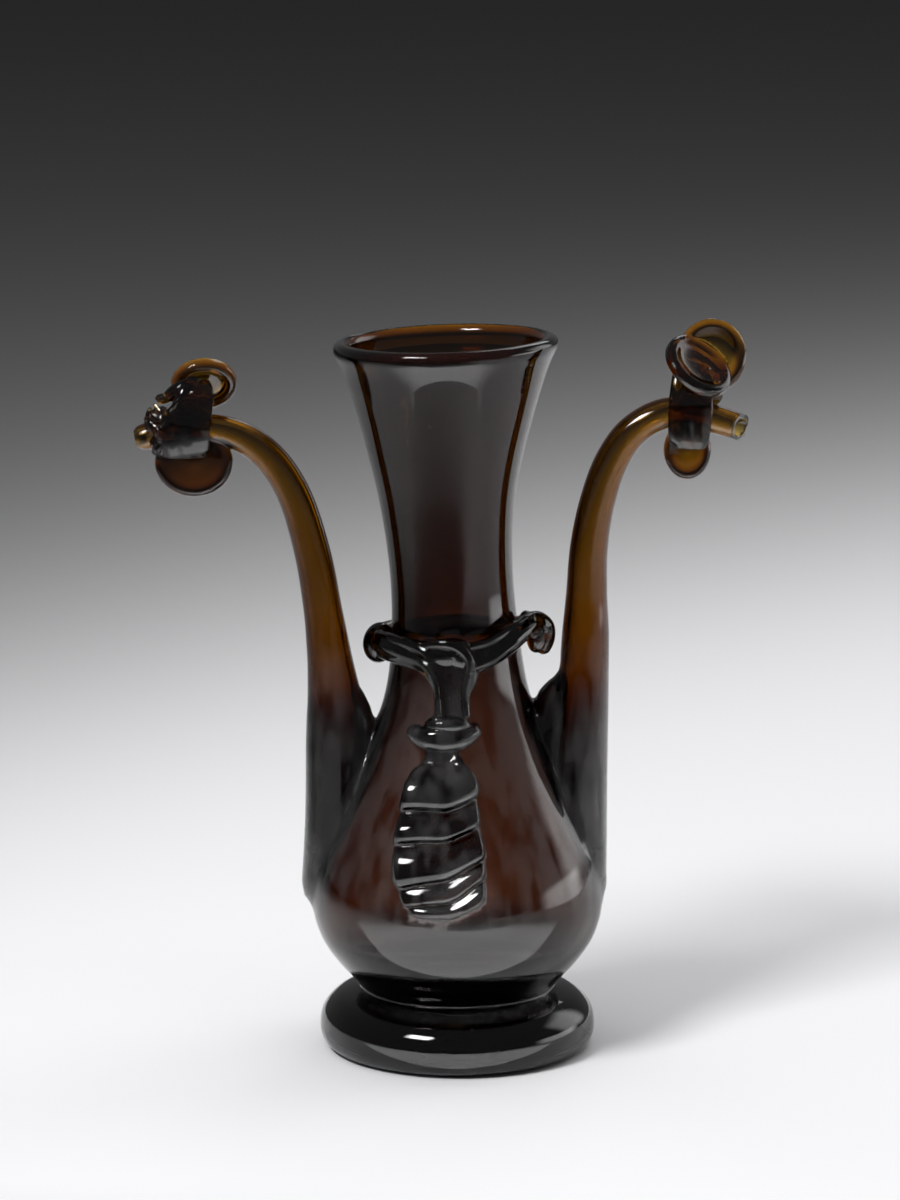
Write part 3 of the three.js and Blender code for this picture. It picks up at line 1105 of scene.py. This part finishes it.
def group_of(name: str, inputs: dict[str, float], masks: Sequence[str]) -> NodeBoard:
    """Starts a shader node group with number inputs and masks as outputs.

    Args:
        name: The group's name.
        inputs: Its inputs and what they start from.
        masks: The names of its outputs.

    Returns:
        A board for the group's nodes.
    """
    group = bpy.data.node_groups.new(name, "ShaderNodeTree")
    for label, value in inputs.items():
        socket = group.interface.new_socket(label, in_out="INPUT", socket_type="NodeSocketFloat")
        socket.default_value = value
    for label in masks:
        group.interface.new_socket(label, in_out="OUTPUT", socket_type="NodeSocketFloat")
    return NodeBoard(group)


def seed_group() -> NodeTree:
    """Builds the group for seeds and grit: small raised specks, thinly scattered.

    Returns:
        A group with inputs for the specks' fineness, spread and size, and one mask.
    """
    smallest = 0.08
    board = group_of("seeds", {"Fineness": 400.0, "Spread": 0.1, "Size": 0.2}, ["Mask"])
    given = board.add("NodeGroupInput")
    given_out = board.add("NodeGroupOutput")
    place = board.add("ShaderNodeTexCoord")
    cells = board.chain("ShaderNodeTexVoronoi", place.outputs["Object"])
    board.link(given.outputs["Fineness"], cells.inputs["Scale"])
    tint = board.chain("ShaderNodeSeparateColor", cells.outputs["Color"])
    chosen = board.math("LESS_THAN", tint.outputs["Red"], given.outputs["Spread"])
    reach = board.math("MULTIPLY_ADD", tint.outputs["Green"], given.outputs["Size"], smallest)
    inside = board.math("SUBTRACT", 1.0, board.math("DIVIDE", cells.outputs["Distance"], reach))
    speck = board.math("MULTIPLY", board.math("MAXIMUM", inside, 0.0), chosen)
    board.link(speck, given_out.inputs["Mask"])
    return board.tree


def haze_group() -> NodeTree:
    """Builds the group for wear and dust: uneven patches with fine upright streaks.

    Returns:
        A group with inputs for the fineness and for the heights of the dust, and two masks.
    """
    clean_below = 0.18
    streak_fineness = 260.0
    streak_stretch = 0.12
    inputs = {"Fineness": 30.0, "Lowest": 0.0, "Highest": 0.1, "Fade": 0.01}
    board = group_of("haze", inputs, ["Wear", "Dust"])
    given = board.add("NodeGroupInput")
    given_out = board.add("NodeGroupOutput")
    place = board.add("ShaderNodeTexCoord")
    patches = board.chain("ShaderNodeTexNoise", place.outputs["Object"], Detail=3.0, Roughness=0.6)
    board.link(given.outputs["Fineness"], patches.inputs["Scale"])
    drawn = board.chain("ShaderNodeMapping", place.outputs["Object"], Scale=(1.0, 1.0, streak_stretch))
    streaks = board.chain("ShaderNodeTexNoise", drawn.outputs["Vector"], Scale=streak_fineness, Detail=1.0)
    both = board.math("MULTIPLY", patches.outputs["Fac"], streaks.outputs["Fac"])
    wear = board.math("MAXIMUM", board.math("SUBTRACT", both, clean_below), 0.0)
    height = board.chain("ShaderNodeSeparateXYZ", place.outputs["Object"]).outputs["Z"]
    fade = given.outputs["Fade"]
    above = board.math("DIVIDE", board.math("SUBTRACT", height, given.outputs["Lowest"]), fade)
    below = board.math("DIVIDE", board.math("SUBTRACT", given.outputs["Highest"], height), fade)
    zone = board.math("MINIMUM", board.math("MAXIMUM", board.math("MINIMUM", above, below), 0.0), 1.0)
    board.link(wear, given_out.inputs["Wear"])
    board.link(board.math("MULTIPLY", wear, zone), given_out.inputs["Dust"])
    return board.tree


@dataclass(frozen=True)
class GlassFinish:
    """Dark amber glass with a fire-polished surface, seeds, grit and dust."""

    absorption: tuple[float, float, float, float] = (0.72, 0.57, 0.0, 1.0)
    density: float = 2150.0
    index: float = 1.5
    polish: float = 0.012
    worn_roughness: float = 0.16
    speck_roughness: float = 0.3
    clearness: float = 0.985
    worn_clearness: float = -0.3
    cast: Place = (1.0, 0.975, 0.95)
    dust_zone: Place = (0.034, 0.102, 0.012)
    dust_roughness: float = 0.6
    dust_amount: float = 7.0
    most_dust: float = 0.8
    seed_height: float = 0.6

    def material(self) -> Material:
        """Builds the material.

        Returns:
            The finished glass.
        """
        glass = bpy.data.materials.new("dark_amber_glass")
        glass.use_nodes = True
        board = NodeBoard(glass.node_tree)
        out = board.add("ShaderNodeOutputMaterial")
        shader = board.add("ShaderNodeBsdfPrincipled", IOR=self.index, Transmission_Weight=1.0)
        board.link(shader.outputs["BSDF"], out.inputs["Surface"])
        depth = board.add("ShaderNodeVolumeAbsorption", Color=self.absorption, Density=self.density)
        board.link(depth.outputs["Volume"], out.inputs["Volume"])

        seeds = seed_group()
        fine = board.add("ShaderNodeGroup", node_tree=seeds, Fineness=900.0, Spread=0.04, Size=0.22)
        coarse = board.add("ShaderNodeGroup", node_tree=seeds, Fineness=300.0, Spread=0.06, Size=0.1)
        specks = board.math("MAXIMUM", fine.outputs["Mask"], coarse.outputs["Mask"])
        zone = dict(zip(("Lowest", "Highest", "Fade"), self.dust_zone))
        haze = board.add("ShaderNodeGroup", node_tree=haze_group(), Fineness=45.0, **zone)
        wear = haze.outputs["Wear"]
        dust = board.math("MULTIPLY", haze.outputs["Dust"], self.dust_amount)
        shader.inputs["Coat Roughness"].default_value = self.dust_roughness
        board.link(board.math("MINIMUM", dust, self.most_dust), shader.inputs["Coat Weight"])
        rough = board.math("MULTIPLY_ADD", wear, self.worn_roughness, self.polish)
        rough = board.math("MULTIPLY_ADD", specks, self.speck_roughness, rough)
        board.link(rough, shader.inputs["Roughness"])
        clear = board.math("MULTIPLY_ADD", wear, self.worn_clearness, self.clearness)
        board.link(board.colour(clear, self.cast), shader.inputs["Base Color"])

        coordinates = board.add("ShaderNodeTexCoord")
        ripple = board.chain("ShaderNodeTexNoise", coordinates.outputs["Object"], Scale=60.0, Detail=2.0)
        height = board.math("MULTIPLY_ADD", coarse.outputs["Mask"], self.seed_height, ripple.outputs["Fac"])
        bump = board.add("ShaderNodeBump", Strength=0.14, Distance=0.0006)
        board.link(height, bump.inputs["Height"])
        board.link(bump.outputs["Normal"], shader.inputs["Normal"])
        return glass


# The object and the studio


@dataclass
class Ewer:
    """The whole ewer, fused into one piece."""

    vessel: Vessel = Vessel()
    foot: PadFoot = PadFoot()
    left: Spout = LEFT_SPOUT
    right: Spout = RIGHT_SPOUT
    thread: NeckThread = NeckThread()
    pendant: Pendant = Pendant()
    left_ribbons: RibbonEars = LEFT_EARS
    right_ribbons: RibbonEars = RIGHT_EARS
    finish: GlassFinish = GlassFinish()
    crackled_tip: Place = (-0.0712, -0.0032, 0.1532)
    crackle_reach: float = 0.0078

    def _mesh(self) -> Mesh:
        """Fuses every part and opens the hollows.

        Returns:
            One closed mesh in millimetres.
        """
        gather = Gather("ewer_glass", self.vessel.outside())
        gather.fuse(self.left.outsides() + self.right.outsides()).soften(3.0, 12)
        gather.fuse([self.foot.shell()]).soften(0.7, 4)
        gather.fuse(self.left_ribbons.shells() + self.right_ribbons.shells())
        gather.fuse(self.thread.shells() + self.pendant.shells()).soften(0.5, 3)
        gather.fuse([self.vessel.hollow(), self.left.bore(), self.right.bore()], Fuse.CUT)
        return gather.mesh

    def build(self) -> Object:
        """Builds and dresses the piece.

        Returns:
            The finished object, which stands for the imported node.
        """
        mesh = self._mesh()
        mesh.transform(Matrix.Scale(METRES_PER_MM, 4))
        mesh.shade_smooth()
        for face in mesh.polygons:
            if (face.center - Vector(self.crackled_tip)).length < self.crackle_reach:
                face.use_smooth = False
        mesh.materials.clear()
        mesh.materials.append(self.finish.material())
        piece = placed("ewer_glass", mesh)
        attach(piece, BODY)
        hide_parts(NODE)
        triangles = sum(len(face.vertices) - 2 for face in mesh.polygons)
        LOG.info("piece %s: %d triangles", piece.name, triangles)
        return piece


@dataclass
class Studio:
    """The floor, whose paper has a painted pool of light and painted shade, the soft lights and the camera.
    """

    camera_place: Place = (-0.0018, -1.1409, 0.3332)
    camera_pitch: float = 11.02
    lens: float = 144.0
    sensor: float = 36.0
    floor_radius: float = 7.0
    lit_pool_reach: float = 0.63
    lit_pool_fall: float = 3.6
    lit_pool_tone: float = 0.93
    painted_shade_far_tone: float = 0.08
    painted_shade_front_start: float = 0.11
    painted_shade_front_fall: float = 4.2
    painted_shade_front_side: tuple[float, float] = (0.03, 0.32)
    paper_cast: Place = (1.0, 1.0, 1.012)
    bounces: int = 8
    aim: Place = (0.0, 0.0, 0.10)

    def build(self) -> None:
        """Sets the camera, then the floor, the lights and the world."""
        self._camera()
        self._floor()
        self._lights()
        self._world()
        settings = bpy.context.scene
        settings.view_settings.view_transform = "Standard"
        settings.cycles.caustics_reflective = False
        settings.cycles.caustics_refractive = False
        settings.cycles.max_bounces = self.bounces
        settings.cycles.transmission_bounces = self.bounces
        settings.cycles.diffuse_bounces = 2
        settings.cycles.use_denoising = True

    def _camera(self) -> None:
        """Places the camera at the viewing angle."""
        data = bpy.data.cameras.new("camera")
        data.lens = self.lens
        data.sensor_width = self.sensor
        data.clip_end = 50.0
        camera = placed("camera", data)
        camera.location = self.camera_place
        camera.rotation_euler = (math.radians(90.0 - self.camera_pitch), 0.0, 0.0)
        bpy.context.scene.camera = camera

    def _floor(self) -> None:
        """Lays a wide floor whose paper has a painted pool of light round the ewer that falls off into
        painted shade.
        """
        shell = bmesh.new()
        bmesh.ops.create_circle(shell, cap_ends=True, segments=96, radius=self.floor_radius)
        mesh = mesh_of(shell, "floor")
        mesh.materials.append(self._paper())
        floor = placed("floor", mesh)

    def _paper(self) -> Material:
        """Builds the floor's paper, with a painted pool of light that is brighter towards +X and falls off
        with distance, and a painted shade in front of the ewer.

        Returns:
            The finished material.
        """
        paper = bpy.data.materials.new("studio_paper")
        paper.use_nodes = True
        board = NodeBoard(paper.node_tree)
        out = board.add("ShaderNodeOutputMaterial")
        shader = board.add("ShaderNodeBsdfPrincipled", Roughness=0.9, Specular_IOR_Level=0.1)
        board.link(shader.outputs["BSDF"], out.inputs["Surface"])
        coordinates = board.add("ShaderNodeTexCoord")
        parts = board.chain("ShaderNodeSeparateXYZ", coordinates.outputs["Object"])
        distance = board.chain("ShaderNodeVectorMath", coordinates.outputs["Object"], operation="LENGTH")
        # Painted light: the tone is brightest near the ewer and towards +X, and falls off into painted
        # shade further away.
        unlit = board.math("SUBTRACT", distance.outputs["Value"], parts.outputs["X"])
        # Painted shade: the floor is darkened in front of the ewer, towards -Y, in a band that fades out
        # towards the sides.
        before = board.math("MULTIPLY_ADD", parts.outputs["Y"], -1.0, -self.painted_shade_front_start)
        side = board.fall(parts.outputs["X"], *self.painted_shade_front_side)
        shade = board.math("MULTIPLY", board.math("MAXIMUM", before, 0.0), side)
        lit_side = board.math("MULTIPLY_ADD", shade, self.painted_shade_front_fall, unlit)
        reach = board.math("POWER", board.math("DIVIDE", lit_side, self.lit_pool_reach), self.lit_pool_fall)
        share = board.math("DIVIDE", 1.0, board.math("ADD", reach, 1.0))
        tone = board.math("MULTIPLY_ADD", share, self.lit_pool_tone - self.painted_shade_far_tone, self.painted_shade_far_tone)
        board.link(board.colour(tone, self.paper_cast), shader.inputs["Base Color"])
        return paper

    def _softbox(
        self, name: str, at: Place, size: tuple[float, float], radiance: float, soft_axes: str = ""
    ) -> Object:
        """Hangs a softbox that faces the ewer.

        Args:
            name: The light's name.
            at: Its place in metres.
            size: Its width and height.
            radiance: How bright its face is.
            soft_axes: The directions in which it falls off towards its edges.

        Returns:
            The light's object.
        """
        data = bpy.data.lights.new(name, "AREA")
        data.shape = "RECTANGLE"
        data.size, data.size_y = size
        data.energy = radiance * size[0] * size[1] * math.pi
        if soft_axes:
            self._soften_edges(data, soft_axes)
        light = placed(name, data)
        light.location = at
        light.rotation_euler = (Vector(self.aim) - Vector(at)).to_track_quat("-Z", "Y").to_euler()
        light.visible_camera = False
        return light

    def _lights(self) -> None:
        """Hangs the lights, and a glow on the table and a low strip that are only seen as reflections."""
        self._softbox("key", (-0.72, -0.84, 1.25), (0.66, 0.46), 28.0, "XY")
        self._softbox("right_panel", (0.98, 0.52, 0.5), (1.0, 1.0), 1.5, "XY")
        self._softbox("behind", (0.29, 1.08, 1.0), (0.4, 0.7), 1.5)
        fill = self._softbox("overhead", (0.0, 0.1, 2.2), (2.6, 2.6), 1.12)
        fill.visible_glossy = False
        glow = self._softbox("table_glow", (0.0, -0.094, 0.0004), (0.34, 0.118), 1.5, "X")
        glow.rotation_euler = (0.0, math.pi, 0.0)
        strip = self._softbox("low_strip", (1.02, 0.05, 0.10), (1.1, 0.26), 2.4, "XY")
        for light in (glow, strip):
            light.visible_diffuse = False
            light.visible_transmission = False

    @staticmethod
    def _soften_edges(light: Light, axes: str) -> None:
        """Lets a light's face fall off towards its edges, as a softbox's cloth does.

        Args:
            light: The light.
            axes: The directions of the face in which it falls off.
        """
        light.use_nodes = True
        board = NodeBoard(light.node_tree)
        out = board.add("ShaderNodeOutputLight")
        shine = board.add("ShaderNodeEmission")
        board.link(shine.outputs["Emission"], out.inputs["Surface"])
        face = board.add("ShaderNodeNewGeometry")
        parts = board.chain("ShaderNodeSeparateXYZ", face.outputs["Parametric"])
        even_reach = 0.22
        strength: Socket | float = 1.25
        for axis in axes:
            off_middle = board.math("ABSOLUTE", board.math("SUBTRACT", parts.outputs[axis], 0.5))
            strength = board.math("MULTIPLY", board.fall(off_middle, even_reach, 0.5), strength)
        board.link(strength, shine.inputs["Strength"])

    @staticmethod
    def _world() -> None:
        """Gives the studio its dim surroundings."""
        world = bpy.data.worlds.new("studio")
        world.use_nodes = True
        bpy.context.scene.world = world
        board = NodeBoard(world.node_tree)
        out = board.add("ShaderNodeOutputWorld")
        light = board.add("ShaderNodeBackground", Color=(0.13, 0.13, 0.133, 1.0), Strength=1.0)
        board.link(light.outputs["Background"], out.inputs["Surface"])


def main() -> None:
    """Builds the studio and the ewer."""
    logging.basicConfig(level=logging.INFO, format="%(message)s")
    Studio().build()
    Ewer().build()


if __name__ == "__main__":
    main()
